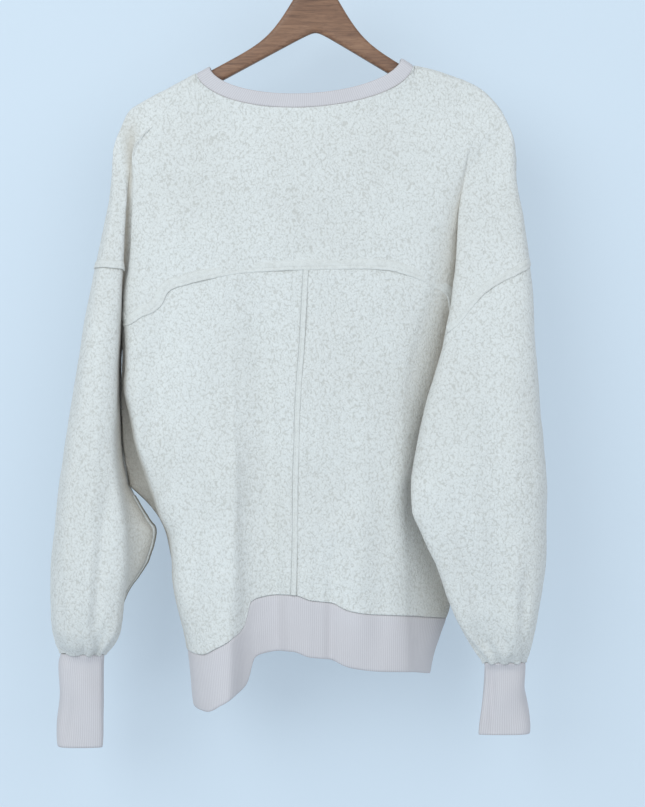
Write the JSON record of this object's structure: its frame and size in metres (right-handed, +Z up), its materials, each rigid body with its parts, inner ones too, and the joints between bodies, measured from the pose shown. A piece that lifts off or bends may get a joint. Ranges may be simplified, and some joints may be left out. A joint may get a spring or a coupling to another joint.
{
  "type": "sherpa fleece pullover on a wooden hanger",
  "caption": "Oversized cream sherpa fleece pullover with balloon sleeves and ribbed neck, cuffs and hem, hanging back outwards on a wooden hanger with a steel hook.",
  "frame": {"origin": "inner top of the hanger's hook, where the rail carries it", "axes": "+Z up along the hanging garment, +X to the right of someone looking at its back, +Y from its back towards its front"},
  "size_m": [0.5688, 0.1267, 0.9511],
  "materials": {
    "fleece": "matte curly sherpa pile, cream",
    "rib": "matte rib knit, off-white",
    "wood": "satin brown stain",
    "steel": "polished"
  },
  "bodies": {
    "root": {"back_yoke": "fleece", "back_left": "fleece", "back_right": "fleece", "front": "fleece", "sleeve_left": "fleece", "sleeve_right": "fleece", "cuff_left": "rib", "cuff_right": "rib", "hem_band": "rib", "neckband": "rib", "hanger_wood": "wood", "hanger_hook": "steel"}
  },
  "joints": []
}
